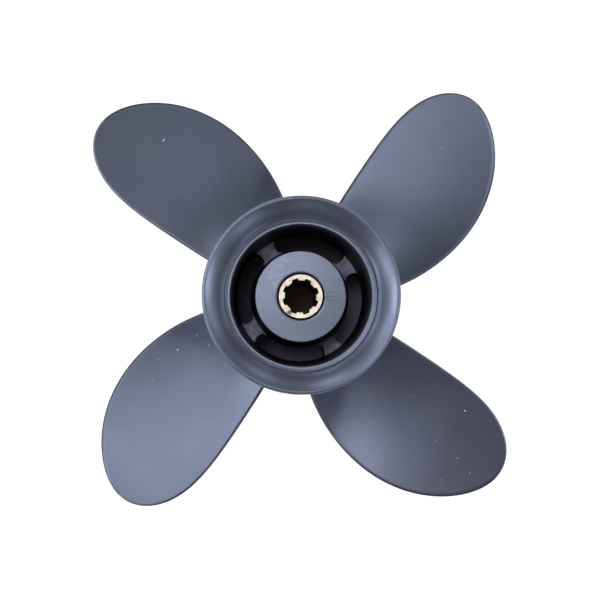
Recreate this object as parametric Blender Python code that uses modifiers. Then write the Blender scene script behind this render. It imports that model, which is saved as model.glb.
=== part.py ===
"""Four-blade ship propeller for an outboard drive, standing on its front end.

The shaft runs along Z. Z = 0 is the front rim of the barrel, and the flared aft end is on top.
Exhaust gas passes through the hub, between the barrel and the inner hub, past four ribs.
"""

import math

import bmesh
import bpy

MM = 0.001
TURN = 2 * math.pi

# Overall sizes
TIP_RADIUS = 117.5 * MM
HUB_LENGTH = 80.0 * MM
SEAT_GAP = 0.3 * MM

# Barrel: the outer tube of the hub, narrowest inside at the throat where the two casting cores meet
BARREL_RADIUS = 36.0 * MM
BARREL_FRONT_BORE = 31.2 * MM
BARREL_THROAT = 28.2 * MM
BARREL_AFT_BORE = 30.4 * MM
THROAT_Z = 38.5 * MM
LEDGE_Z = 73.8 * MM
SPIGOT_RADIUS = 32.4 * MM
SPIGOT_Z = 62.0 * MM
RIM_CHAMFER = 0.8 * MM

# Diffuser ring: the flared ring round the aft end of the barrel.
# Its inside is a steep cone beside the lip that bends into a flatter one between two radii.
FLARE_RADIUS = 42.2 * MM
FLARE_NECK_Z = SPIGOT_Z + SEAT_GAP
FLARE_COVE_RADIUS = 33.0 * MM
FLARE_RIM = 0.8 * MM
FLARE_SLOPES = (1.15, 0.6)
FLARE_BEND = (35.2 * MM, 38.8 * MM)
BELL_STEPS = 6
BEND_STEPS = 4
RIM_STEPS = 4

# Inner hub: the tube that grips the rubber bush
INNER_AFT_RADIUS = 19.7 * MM
INNER_THROAT_RADIUS = 21.6 * MM
INNER_FRONT_RADIUS = 20.4 * MM
INNER_FRONT_Z = 10.0 * MM
INNER_AFT_Z = 64.0 * MM
BUSH_BORE = 16.5 * MM
FACE_HOLE = 10.25 * MM
FACE_WALL = 4.0 * MM

# Splined sleeve and the rubber bush round it
SLEEVE_RADIUS = 9.45 * MM
SLEEVE_FRONT_Z = 7.0 * MM
SLEEVE_AFT_Z = 64.5 * MM
SPLINE_TEETH = 8
SPLINE_MAJOR = 7.9 * MM
SPLINE_MINOR = 6.8 * MM
SPLINE_GROOVE = 2.9 * MM
SPLINE_PHASE = math.radians(30.3)

# Ribs between the inner hub and the barrel
RIB_COUNT = 4
RIB_PHASE = math.radians(45.0)
RIB_THICKNESS = 7.2 * MM
RIB_INNER_FILLET = 1.7 * MM
RIB_OUTER_FILLET = 3.3 * MM
RIB_OVERRUN = 2.0 * MM
RIB_FRONT_Z = 14.0 * MM
RIB_AFT_Z = 38.5 * MM

# Blades: a right-handed screw surface of constant pitch, with no rake
BLADE_COUNT = 4
BLADE_PITCH = 203.2 * MM
BLADE_MID_Z = 36.5 * MM
BLADE_MID_ANGLE = math.radians(51.0)
BLADE_FIRST_RADIUS = 36.0 * MM
BLADE_SINK = 1.5 * MM
ROOT_FILLET = 4.5 * MM
ROOT_THICKNESS = 7.6 * MM
TIP_THICKNESS = 2.4 * MM
LEADING_THICKNESS = 1.5 * MM
TRAILING_THICKNESS = 2.0 * MM
TIP_ROUNDNESS = 6.4
MOST_ROUNDING = 0.35
# Middle line and half width of the blade as it is seen along the shaft, in degrees:
# the factors of 1, x, x squared and x cubed, where x runs from 0 at the hub to 1 at the tip
MIDDLE_LINE = (47.3, 4.2, 11.7, -4.8)
HALF_WIDTH = (32.0, -21.6, 4.8, -3.9)

# Fineness
ROUND_STEPS = 48
SPAN_STEPS = 15
CHORD_STEPS = 10
EDGE_STEPS = 3
FILLET_STEPS = 3
TIP_STEP = 0.35
SHARP_ANGLE = math.radians(50.0)

PAINT = ("grey_enamel", (0.130, 0.150, 0.210), 0.38, 0.8)
RUBBER = ("black_rubber", (0.012, 0.012, 0.013), 0.85, 0.0)
BRASS = ("brass", (0.88, 0.76, 0.57), 0.58, 1.0)


def clear_scene():
    """Remove what the start-up file holds."""
    for obj in list(bpy.data.objects):
        bpy.data.objects.remove(obj)


def make_collection(name, shown):
    """Add a collection to the scene; one that isn't shown holds helpers."""
    collection = bpy.data.collections.new(name)
    collection.hide_render = not shown
    bpy.context.scene.collection.children.link(collection)
    return collection


def make_material(name, colour, roughness, metallic):
    """Make a plain finish."""
    material = bpy.data.materials.new(name)
    material.use_nodes = True
    shader = material.node_tree.nodes["Principled BSDF"]
    shader.inputs["Base Color"].default_value = (*colour, 1.0)
    shader.inputs["Roughness"].default_value = roughness
    shader.inputs["Metallic"].default_value = metallic
    return material


def add_object(name, data, collection, material=None):
    """Put a mesh or curve into the collection as a named object."""
    obj = bpy.data.objects.new(name, data)
    collection.objects.link(obj)
    if material:
        data.materials.append(material)
    return obj


def add_helper(name, data, collection):
    """Put a cutter into the helpers' collection."""
    obj = add_object(name, data, collection)
    obj.hide_render = True
    obj.display_type = "WIRE"
    return obj


def polynomial(factors, x):
    """Value at x of the polynomial with these factors, lowest power first."""
    return sum(factor * x**power for power, factor in enumerate(factors))


def arc(centre_r, centre_z, radius, start, end, steps):
    """Profile points on an arc in the plane of r and z, with its angles in degrees."""
    angles = [math.radians(start + (end - start) * i / steps) for i in range(steps + 1)]
    return [(centre_r + radius * math.cos(a), centre_z + radius * math.sin(a)) for a in angles]


def turned_mesh(name, profile):
    """Mesh of a closed profile in the XZ plane, which runs down its outer side."""
    mesh = bpy.data.meshes.new(name)
    points = [(r, 0.0, z) for r, z in profile]
    edges = [(i, (i + 1) % len(points)) for i in range(len(points))]
    mesh.from_pydata(points, edges, [])
    return mesh


def spin(obj):
    """Turn the object's profile once round Z."""
    screw = obj.modifiers.new("turn", "SCREW")
    screw.axis = "Z"
    screw.angle = TURN
    screw.steps = ROUND_STEPS
    screw.render_steps = ROUND_STEPS
    screw.use_merge_vertices = True
    screw.merge_threshold = 0.01 * MM
    screw.use_smooth_shade = True
    return obj


def realised(obj, name, collection, material):
    """Replace a helper by a mesh object of what it evaluates to."""
    graph = bpy.context.evaluated_depsgraph_get()
    mesh = bpy.data.meshes.new_from_object(obj.evaluated_get(graph))
    mesh.name = name
    welder = bmesh.new()
    welder.from_mesh(mesh)
    bmesh.ops.remove_doubles(welder, verts=welder.verts, dist=0.001 * MM)
    bmesh.ops.recalc_face_normals(welder, faces=welder.faces)
    welder.to_mesh(mesh)
    welder.free()
    mesh.materials.clear()
    made = add_object(name, mesh, collection, material)
    made.matrix_world = obj.matrix_world
    bpy.data.objects.remove(obj)
    return made


def cut_by(obj, cutter, operation):
    """Add an exact Boolean with the cutter."""
    boolean = obj.modifiers.new(cutter.name, "BOOLEAN")
    boolean.operation = operation
    boolean.solver = "EXACT"
    boolean.object = cutter


def barrel_bore(z):
    """Inner radius of the barrel at a height."""
    if z < THROAT_Z:
        share = z / THROAT_Z
        return BARREL_FRONT_BORE + (BARREL_THROAT - BARREL_FRONT_BORE) * share
    share = (z - THROAT_Z) / (LEDGE_Z - THROAT_Z)
    return BARREL_THROAT + (BARREL_AFT_BORE - BARREL_THROAT) * share


def inner_hub_radius(z):
    """Outer radius of the inner hub at a height."""
    if z < THROAT_Z:
        share = (z - INNER_FRONT_Z) / (THROAT_Z - INNER_FRONT_Z)
        return INNER_FRONT_RADIUS + (INNER_THROAT_RADIUS - INNER_FRONT_RADIUS) * share
    share = (z - THROAT_Z) / (INNER_AFT_Z - THROAT_Z)
    return INNER_THROAT_RADIUS + (INNER_AFT_RADIUS - INNER_THROAT_RADIUS) * share


def make_barrel(collection, material):
    """Outer tube, with the thinner spigot at its aft end that carries the diffuser ring."""
    profile = [
        (SPIGOT_RADIUS, LEDGE_Z),
        (SPIGOT_RADIUS, SPIGOT_Z),
        (BARREL_RADIUS, SPIGOT_Z),
        (BARREL_RADIUS, RIM_CHAMFER),
        (BARREL_RADIUS - RIM_CHAMFER, 0.0),
        (BARREL_FRONT_BORE + RIM_CHAMFER, 0.0),
        (barrel_bore(RIM_CHAMFER), RIM_CHAMFER),
        (BARREL_THROAT, THROAT_Z),
        (barrel_bore(LEDGE_Z - RIM_CHAMFER), LEDGE_Z - RIM_CHAMFER),
        (BARREL_AFT_BORE + RIM_CHAMFER, LEDGE_Z),
    ]
    return spin(add_object("barrel", turned_mesh("barrel", profile), collection, material))


def bell_curve(inner, outer, low, high, steps):
    """Quarter ellipse that rises from the inner low point and ends flat at the outer high one."""
    angles = [math.radians(90.0 * i / steps) for i in range(steps + 1)]
    return [
        (outer - (outer - inner) * math.cos(a), low + (high - low) * math.sin(a)) for a in angles
    ]


def flare_inside(outer, high, steps):
    """Curve from the cove to the outer high point: a steep cone, a bend and a flatter cone."""
    radii = [FLARE_BEND[1] + (FLARE_BEND[0] - FLARE_BEND[1]) * i / steps for i in range(steps + 1)]
    points = [(outer, high)]
    for radius in [*radii, FLARE_COVE_RADIUS]:
        before, height = points[-1]
        share = ((before + radius) / 2 - FLARE_BEND[0]) / (FLARE_BEND[1] - FLARE_BEND[0])
        share = min(1.0, max(0.0, share))
        bend = share * share * (3 - 2 * share)
        slope = FLARE_SLOPES[0] + (FLARE_SLOPES[1] - FLARE_SLOPES[0]) * bend
        points.append((radius, height - slope * (before - radius)))
    return points[::-1]


def make_diffuser_ring(collection, material):
    """Flared ring: a bell inside, a slow outward sweep outside, and a round rim."""
    bore = SPIGOT_RADIUS + SEAT_GAP
    rim_radius, rim_z = FLARE_RADIUS - FLARE_RIM, HUB_LENGTH - FLARE_RIM
    lean = math.degrees(math.atan(FLARE_SLOPES[1]))
    rim = arc(rim_radius, rim_z, FLARE_RIM, 90 + lean, 90, 1)
    rim += arc(rim_radius, rim_z, FLARE_RIM, 90, -90, RIM_STEPS)[1:]
    outside = bell_curve(BARREL_RADIUS, rim_radius, FLARE_NECK_Z, rim[-1][1], BELL_STEPS)
    inside = flare_inside(*rim[0], BEND_STEPS)
    foot = [(bore, FLARE_NECK_Z), (bore, inside[0][1])]
    profile = rim + outside[-2::-1] + foot + inside[:-1]
    return spin(
        add_object("diffuser_ring", turned_mesh("diffuser_ring", profile), collection, material)
    )


def make_inner_hub(collection, material):
    """Inner tube, open at the front for the rubber bush and necked at its aft face."""
    profile = [
        (INNER_AFT_RADIUS - RIM_CHAMFER, INNER_AFT_Z),
        (inner_hub_radius(INNER_AFT_Z - RIM_CHAMFER), INNER_AFT_Z - RIM_CHAMFER),
        (INNER_THROAT_RADIUS, THROAT_Z),
        (INNER_FRONT_RADIUS, INNER_FRONT_Z),
        (BUSH_BORE, INNER_FRONT_Z),
        (BUSH_BORE, INNER_AFT_Z - FACE_WALL),
        (FACE_HOLE, INNER_AFT_Z - FACE_WALL),
        (FACE_HOLE, INNER_AFT_Z),
    ]
    return spin(add_object("inner_hub", turned_mesh("inner_hub", profile), collection, material))


def make_rubber_bush(collection, material):
    """Rubber that is pressed into the inner hub from the front and carries the sleeve."""
    outer = BUSH_BORE - SEAT_GAP
    inner = SLEEVE_RADIUS + SEAT_GAP
    top = INNER_AFT_Z - FACE_WALL - SEAT_GAP
    bottom = INNER_FRONT_Z + RIM_CHAMFER
    profile = [
        (outer - RIM_CHAMFER, top),
        (outer, top - RIM_CHAMFER),
        (outer, bottom + RIM_CHAMFER),
        (outer - RIM_CHAMFER, bottom),
        (inner, bottom),
        (inner, top),
    ]
    return spin(
        add_object("rubber_bush", turned_mesh("rubber_bush", profile), collection, material)
    )


def spline_outline():
    """Corner points of the splined bore: straight-sided grooves between round lands."""
    groove_at_major = math.asin(SPLINE_GROOVE / 2 / SPLINE_MAJOR)
    groove_at_minor = math.asin(SPLINE_GROOVE / 2 / SPLINE_MINOR)
    land_half = TURN / SPLINE_TEETH / 2
    points = []
    for tooth in range(SPLINE_TEETH):
        centre = SPLINE_PHASE + TURN * tooth / SPLINE_TEETH
        for radius, offset in (
            (SPLINE_MINOR, -groove_at_minor),
            (SPLINE_MAJOR, -groove_at_major),
            (SPLINE_MAJOR, 0.0),
            (SPLINE_MAJOR, groove_at_major),
            (SPLINE_MINOR, groove_at_minor),
            (SPLINE_MINOR, land_half),
        ):
            angle = centre + offset
            points.append((radius * math.cos(angle), radius * math.sin(angle)))
    return points


def flat_outline(name, outlines, thickness):
    """2D curve of closed outlines, filled and extruded to the thickness about its own plane."""
    curve = bpy.data.curves.new(name, "CURVE")
    curve.dimensions = "2D"
    curve.fill_mode = "BOTH"
    curve.extrude = thickness / 2
    for outline in outlines:
        spline = curve.splines.new("POLY")
        spline.points.add(len(outline) - 1)
        for point, (x, y) in zip(spline.points, outline):
            point.co = (x, y, 0.0, 1.0)
        spline.use_cyclic_u = True
    return curve


def make_spline_sleeve(collection, material):
    """Brass sleeve with the internal splines that take the shaft."""
    angles = [TURN * i / ROUND_STEPS for i in range(ROUND_STEPS)]
    circle = [(SLEEVE_RADIUS * math.cos(a), SLEEVE_RADIUS * math.sin(a)) for a in angles]
    length = SLEEVE_AFT_Z - SLEEVE_FRONT_Z
    curve = flat_outline("spline_sleeve", [circle, spline_outline()], length)
    sleeve = add_object("spline_sleeve", curve, collection, material)
    sleeve.location.z = SLEEVE_FRONT_Z + length / 2
    return sleeve


def rib_outline():
    """Outline of a rib seen along the shaft, lying along X, wider at both of its ends."""
    near = inner_hub_radius(RIB_AFT_Z)
    far = BARREL_THROAT
    half = RIB_THICKNESS / 2
    turns = [math.radians(90.0 * i / EDGE_STEPS) for i in range(1, EDGE_STEPS + 1)]
    ends = []
    for fillet in (RIB_INNER_FILLET, RIB_OUTER_FILLET):
        end = [(-RIB_OVERRUN, half + fillet), (0.0, half + fillet)]
        end += [(fillet * (1 - math.cos(a)), half + fillet * (1 - math.sin(a))) for a in turns]
        ends.append(end)
    top = [(near + x, y) for x, y in ends[0]] + [(far - x, y) for x, y in reversed(ends[1])]
    return top[::-1] + [(x, -y) for x, y in top]


def passage_profile():
    """Profile of the space between the inner hub and the barrel, clear of both by the seat gap."""
    heights = [RIB_AFT_Z + SEAT_GAP, THROAT_Z, RIB_FRONT_Z - SEAT_GAP]
    outer = [(barrel_bore(z) - SEAT_GAP, z) for z in heights]
    inner = [(inner_hub_radius(z) + SEAT_GAP, z) for z in reversed(heights)]
    return outer + inner


def make_ribs(parts, helpers, material):
    """Four ribs, each an extruded outline kept to the passage between the two tubes."""
    passage = spin(add_helper("passage", turned_mesh("passage", passage_profile()), helpers))
    length = RIB_AFT_Z - RIB_FRONT_Z
    for number in range(RIB_COUNT):
        blank = add_helper("rib_blank", flat_outline("rib_blank", [rib_outline()], length), helpers)
        blank.location.z = RIB_FRONT_Z + length / 2
        blank.rotation_euler.z = RIB_PHASE + TURN * number / RIB_COUNT
        bpy.context.view_layer.update()
        rib = realised(blank, f"rib_{number + 1}", parts, material)
        cut_by(rib, passage, "INTERSECT")


def edge_radius(share):
    """Half the thickness of the section without its crown, at a share of the half chord."""
    trailing = (share + 1) / 2
    return (LEADING_THICKNESS + (TRAILING_THICKNESS - LEADING_THICKNESS) * trailing) / 2


def section_outline(half_chord, thickness):
    """Blade section as (chord, offset) points: a flat aft face, a crowned front face, round edges."""
    trailing = min(MOST_ROUNDING, edge_radius(1) / half_chord)
    leading = min(MOST_ROUNDING, edge_radius(-1) / half_chord)
    turns = [math.radians(90.0 * i / EDGE_STEPS) for i in range(EDGE_STEPS)]
    before = [1 - trailing * (1 - math.cos(turn)) for turn in turns]
    after = [leading * (1 - math.cos(turn)) - 1 for turn in turns]
    width = 2 - trailing - leading
    inside = [1 - trailing - width * i / CHORD_STEPS for i in range(CHORD_STEPS + 1)]
    aft, front = [], []
    for share in before + inside + after[::-1]:
        edge = edge_radius(share)
        rounding = trailing if share > 0 else leading
        past = max(0.0, (abs(share) - 1) / rounding + 1)
        roundness = math.sqrt(max(0.0, 1 - past * past))
        crown = max(0.0, 1 - (share / (1 - rounding)) ** 2)
        aft.append((share * half_chord, -edge * (1 - roundness)))
        depth = edge * (1 + roundness) + (thickness - 2 * edge) * crown
        front.append((share * half_chord, -depth))
    return aft + front[-2:0:-1]


def grown(outline, distance):
    """Outline moved outwards by a distance along its own normals."""
    if distance == 0.0:
        return outline
    moved = []
    count = len(outline)
    for i, (u, v) in enumerate(outline):
        before, after = outline[i - 1], outline[(i + 1) % count]
        du, dv = after[0] - before[0], after[1] - before[1]
        length = math.hypot(du, dv)
        moved.append((u + distance * dv / length, v - distance * du / length))
    return moved


def blade_section(radius, growth):
    """Points in space of the blade section on the cylinder of this radius."""
    x = max(0.0, (radius - BLADE_FIRST_RADIUS) / (TIP_RADIUS - BLADE_FIRST_RADIUS))
    middle = math.radians(polynomial(MIDDLE_LINE, x))
    half_width = math.radians(polynomial(HALF_WIDTH, x)) * math.sqrt(1 - x**TIP_ROUNDNESS)
    thickness = ROOT_THICKNESS + (TIP_THICKNESS - ROOT_THICKNESS) * x
    advance = BLADE_PITCH / TURN
    slope = math.atan2(advance, radius)
    half_chord = half_width * math.hypot(radius, advance)
    outline = grown(section_outline(half_chord, thickness), growth)
    points = []
    for u, v in outline:
        angle = middle + (u * math.cos(slope) - v * math.sin(slope)) / radius
        z = BLADE_MID_Z + advance * (middle - BLADE_MID_ANGLE)
        z += u * math.sin(slope) + v * math.cos(slope)
        points.append((radius * math.cos(angle), radius * math.sin(angle), z))
    return points


def blade_rings():
    """(radius, growth) of each section: the sunk root, the root fillet, then out to the tip."""
    root = BARREL_RADIUS + SEAT_GAP
    rings = [(root - BLADE_SINK, ROOT_FILLET)]
    for step in range(FILLET_STEPS + 1):
        a = math.radians(90.0 * step / FILLET_STEPS)
        rings.append((root + ROOT_FILLET * (1 - math.cos(a)), ROOT_FILLET * (1 - math.sin(a))))
    first = root + ROOT_FILLET
    for step in range(1, SPAN_STEPS + 1):
        share = math.sin(math.radians(90.0 * step / (SPAN_STEPS + TIP_STEP)))
        rings.append((first + (TIP_RADIUS - first) * share, 0.0))
    return rings


def blade_mesh():
    """Loft of the blade sections, closed at the root and the tip."""
    loft = bmesh.new()
    rings = [
        [loft.verts.new(point) for point in blade_section(radius, growth)]
        for radius, growth in blade_rings()
    ]
    for inner, outer in zip(rings, rings[1:]):
        for i, corner in enumerate(inner):
            loft.faces.new((inner[i - 1], corner, outer[i], outer[i - 1]))
    for ring in (rings[0], rings[-1]):
        half = len(ring) // 2
        for i in range(half):
            corners = (ring[i], ring[i + 1], ring[-i - 1], ring[-i])
            loft.faces.new(list(dict.fromkeys(corners)))
    bmesh.ops.recalc_face_normals(loft, faces=loft.faces)
    mesh = bpy.data.meshes.new("blade")
    loft.to_mesh(mesh)
    loft.free()
    mesh.shade_smooth()
    mesh.set_sharp_from_angle(angle=SHARP_ANGLE)
    return mesh


def make_blades(parts, helpers, material):
    """Four blades, each seated on the barrel."""
    radius = BARREL_RADIUS + SEAT_GAP
    profile = [(radius, HUB_LENGTH), (radius, 0.0), (INNER_AFT_RADIUS, 0.0), (INNER_AFT_RADIUS, HUB_LENGTH)]
    seat = spin(add_helper("blade_seat", turned_mesh("blade_seat", profile), helpers))
    mesh = blade_mesh()
    mesh.materials.append(material)
    for number in range(BLADE_COUNT):
        blade = add_object(f"blade_{number + 1}", mesh, parts)
        blade.rotation_euler.z = TURN * number / BLADE_COUNT
        cut_by(blade, seat, "DIFFERENCE")


def main():
    """Build the propeller."""
    clear_scene()
    parts = make_collection("ship_propeller", True)
    helpers = make_collection("helpers", False)
    paint = make_material(*PAINT)
    rubber = make_material(*RUBBER)
    brass = make_material(*BRASS)
    make_barrel(parts, paint)
    make_diffuser_ring(parts, paint)
    make_inner_hub(parts, paint)
    make_ribs(parts, helpers, paint)
    make_blades(parts, helpers, paint)
    make_rubber_bush(parts, rubber)
    make_spline_sleeve(parts, brass)


main()
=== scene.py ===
"""Looks of the outboard boat propeller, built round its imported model.

The shaft's axis is Z. The front rim of the hub stands on the floor at Z = 0, and the flared aft end
is on top. Lengths are in metres, written as millimetres times MM or inside mm().
"""

import logging
import math
from dataclasses import dataclass
from enum import Enum

import bpy
import numpy as np
from mathutils import Matrix, Quaternion, Vector

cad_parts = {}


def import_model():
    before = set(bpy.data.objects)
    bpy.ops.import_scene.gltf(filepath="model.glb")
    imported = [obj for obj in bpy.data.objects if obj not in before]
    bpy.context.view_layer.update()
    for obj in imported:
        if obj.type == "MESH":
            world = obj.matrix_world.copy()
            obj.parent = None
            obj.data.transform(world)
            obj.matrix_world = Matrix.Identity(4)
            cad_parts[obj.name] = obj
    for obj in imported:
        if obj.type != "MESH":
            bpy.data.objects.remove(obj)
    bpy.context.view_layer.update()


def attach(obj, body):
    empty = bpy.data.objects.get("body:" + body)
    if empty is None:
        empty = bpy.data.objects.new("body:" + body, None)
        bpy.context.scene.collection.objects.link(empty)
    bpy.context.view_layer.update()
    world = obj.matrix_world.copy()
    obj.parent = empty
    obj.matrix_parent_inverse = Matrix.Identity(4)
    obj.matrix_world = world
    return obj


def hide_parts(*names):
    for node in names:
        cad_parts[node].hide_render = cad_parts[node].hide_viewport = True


MM = 0.001
TURN = 2 * math.pi
BODY = "root"
# name of the blades' attribute that places the painted shade along their edges
EDGE_SHARE = "edge_share"
SHARP_ANGLE = math.radians(40.0)
CORNER_STEPS = 6
CORNER_GUARD = 0.08 * MM
NOISE_ROUGHNESS = 0.55
LEAST_ANGLE = 1e-6
LEAST_SQUARE = 1e-18

Point = tuple[float, float]
Span = tuple[float, float]
Spot = tuple[float, float, float]
Colour = tuple[float, float, float]
Face = tuple[int, ...]
Material = bpy.types.Material
Socket = bpy.types.NodeSocket

log = logging.getLogger("propeller")


class Slot(Enum):
    """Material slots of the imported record."""

    CASTING = "casting_paint"
    PASSAGE = "passage_paint"
    RUBBER = "bush_rubber"
    BRASS = "sleeve_brass"


def mm(*values: float) -> tuple[float, ...]:
    """Several lengths in metres, given in millimetres."""
    return tuple(value * MM for value in values)


def smooth_step(share: np.ndarray) -> np.ndarray:
    """Ease from 0 to 1, flat at both ends."""
    held = np.clip(share, 0.0, 1.0)
    return held * held * (3 - 2 * held)


def eased(values: np.ndarray, start: float, end: float) -> np.ndarray:
    """Ease from 0 at the start to 1 at the end."""
    return smooth_step((values - start) / (end - start))


def mixed(first: float | np.ndarray, second: float | np.ndarray, share: np.ndarray) -> np.ndarray:
    """Go from the first value to the second one by a share."""
    return first + (second - first) * share


def quarter(steps: int) -> list[float]:
    """Angles from 0 to a quarter turn, in equal steps."""
    return [math.radians(90.0 * i / steps) for i in range(steps + 1)]


def arc(centre: Point, radius: float, start: float, end: float, steps: int) -> list[Point]:
    """Find the points on an arc in a plane.

    Args:
        centre: Centre of the arc.
        radius: Its radius.
        start: Angle of the first point, in degrees.
        end: Angle of the last point, in degrees.
        steps: Number of steps between them.

    Returns:
        The points in order, both ends included.
    """
    angles = [math.radians(start + (end - start) * i / steps) for i in range(steps + 1)]
    return [(centre[0] + radius * math.cos(a), centre[1] + radius * math.sin(a)) for a in angles]


def rounded(corners: list[Point], radii: tuple[float, ...]) -> list[Point]:
    """Round the corners of a closed profile.

    An extra point on each side of a rounding keeps the shading of the flat face beside it flat.

    Args:
        corners: The corners in r and z.
        radii: The rounding of each; 0 leaves a corner as it is.

    Returns:
        The points of the closed profile.
    """
    points = []
    count = len(corners)
    for i, (corner, radius) in enumerate(zip(corners, radii)):
        if radius == 0.0:
            points.append(corner)
            continue
        here = Vector(corner)
        back = (Vector(corners[i - 1]) - here).normalized()
        ahead = (Vector(corners[(i + 1) % count]) - here).normalized()
        half = back.angle(ahead) / 2
        reach = radius / math.tan(half)
        centre = here + (back + ahead).normalized() * radius / math.sin(half)
        first = here + back * reach - centre
        sweep = (math.pi - 2 * half) * (1 if back.cross(first) > 0 else -1)
        points.append(tuple(centre + first + back * CORNER_GUARD))
        for step in range(CORNER_STEPS + 1):
            points.append(tuple(centre + Matrix.Rotation(sweep * step / CORNER_STEPS, 2) @ first))
        points.append(tuple(here + ahead * (reach + CORNER_GUARD)))
    return points


def left_normals(loop: np.ndarray) -> np.ndarray:
    """Unit normals of a closed loop in a plane, on the left of the way round it."""
    along = np.roll(loop, -1, axis=0) - np.roll(loop, 1, axis=0)
    return np.stack([-along[:, 1], along[:, 0]], 1) / np.hypot(*along.T)[:, None]


def spun(points: np.ndarray, angle: float) -> np.ndarray:
    """Turn points anticlockwise round Z."""
    return points @ np.array(Matrix.Rotation(angle, 3, "Z")).T


def ring_faces(rings: int, count: int, closed: bool, first: int = 0) -> list[Face]:
    """Join each ring of points to the next one by four-sided faces.

    Args:
        rings: Number of rings.
        count: Number of points in each ring.
        closed: Whether the last ring is joined to the first one.
        first: Number of the first point.

    Returns:
        The faces, ring by ring.
    """
    faces = []
    for ring in range(rings if closed else rings - 1):
        here, there = first + ring * count, first + (ring + 1) % rings * count
        for i in range(count):
            j = (i + 1) % count
            faces.append((here + i, here + j, there + j, there + i))
    return faces


def flipped(faces: list[Face]) -> list[Face]:
    """Turn faces over; each keeps its first point."""
    return [face[:1] + face[:0:-1] for face in faces]


def chip_faces(first: int, count: int) -> list[Face]:
    """Number the faces of a flat closed chip.

    Args:
        first: Number of its first point; the points round its top come before those round its foot.
        count: Number of points round it, anticlockwise from above.

    Returns:
        Its top, its foot and its sides.
    """
    top = tuple(range(first, first + count))
    foot = tuple(i + count for i in reversed(top))
    return [top, foot, *flipped(ring_faces(2, count, closed=False, first=first))]


def mesh_object(name: str, points: np.ndarray, faces: list[Face]) -> bpy.types.Object:
    """Make a smooth-shaded mesh object and link it to the scene.

    Args:
        name: Name of the piece.
        points: Vertices, one row each.
        faces: Vertex numbers of each face, seen anticlockwise from outside.

    Returns:
        The object.
    """
    mesh = bpy.data.meshes.new(name)
    mesh.from_pydata(np.asarray(points, dtype=float).tolist(), [], faces)
    mesh.shade_smooth()
    mesh.set_sharp_from_angle(angle=SHARP_ANGLE)
    mesh.update()
    obj = bpy.data.objects.new(name, mesh)
    bpy.context.scene.collection.objects.link(obj)
    return obj


def turned(name: str, profile: list[Point], segments: int = 192) -> bpy.types.Object:
    """Turn a closed profile once round Z.

    Args:
        name: Name of the piece.
        profile: Points in r and z, which go round clockwise with r to the right and z up.
        segments: Number of segments round the axis.

    Returns:
        The turned object.
    """
    angles = np.arange(segments) * TURN / segments
    radii, heights = np.array(profile).T
    points = np.empty((segments, len(profile), 3))
    points[..., 0] = np.cos(angles)[:, None] * radii
    points[..., 1] = np.sin(angles)[:, None] * radii
    points[..., 2] = heights
    return mesh_object(name, points.reshape(-1, 3), ring_faces(segments, len(profile), closed=True))


def place(obj: bpy.types.Object, slot: Slot, nodes: list[str], *finishes: Material) -> None:
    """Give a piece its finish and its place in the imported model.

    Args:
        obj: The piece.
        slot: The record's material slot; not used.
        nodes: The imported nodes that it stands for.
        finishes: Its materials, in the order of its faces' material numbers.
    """
    for finish in finishes:
        obj.data.materials.append(finish)
    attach(obj, BODY)
    if nodes:
        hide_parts(*nodes)
    log.info("%s: %d faces, for %s", obj.name, len(obj.data.polygons), ", ".join(nodes) or "no node")


@dataclass(frozen=True)
class Grain:
    """Even noise: the width of its patches, the number of finer layers, and where it fades in."""

    size: float
    detail: float = 2.0
    fade: Span = (0.0, 1.0)


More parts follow.
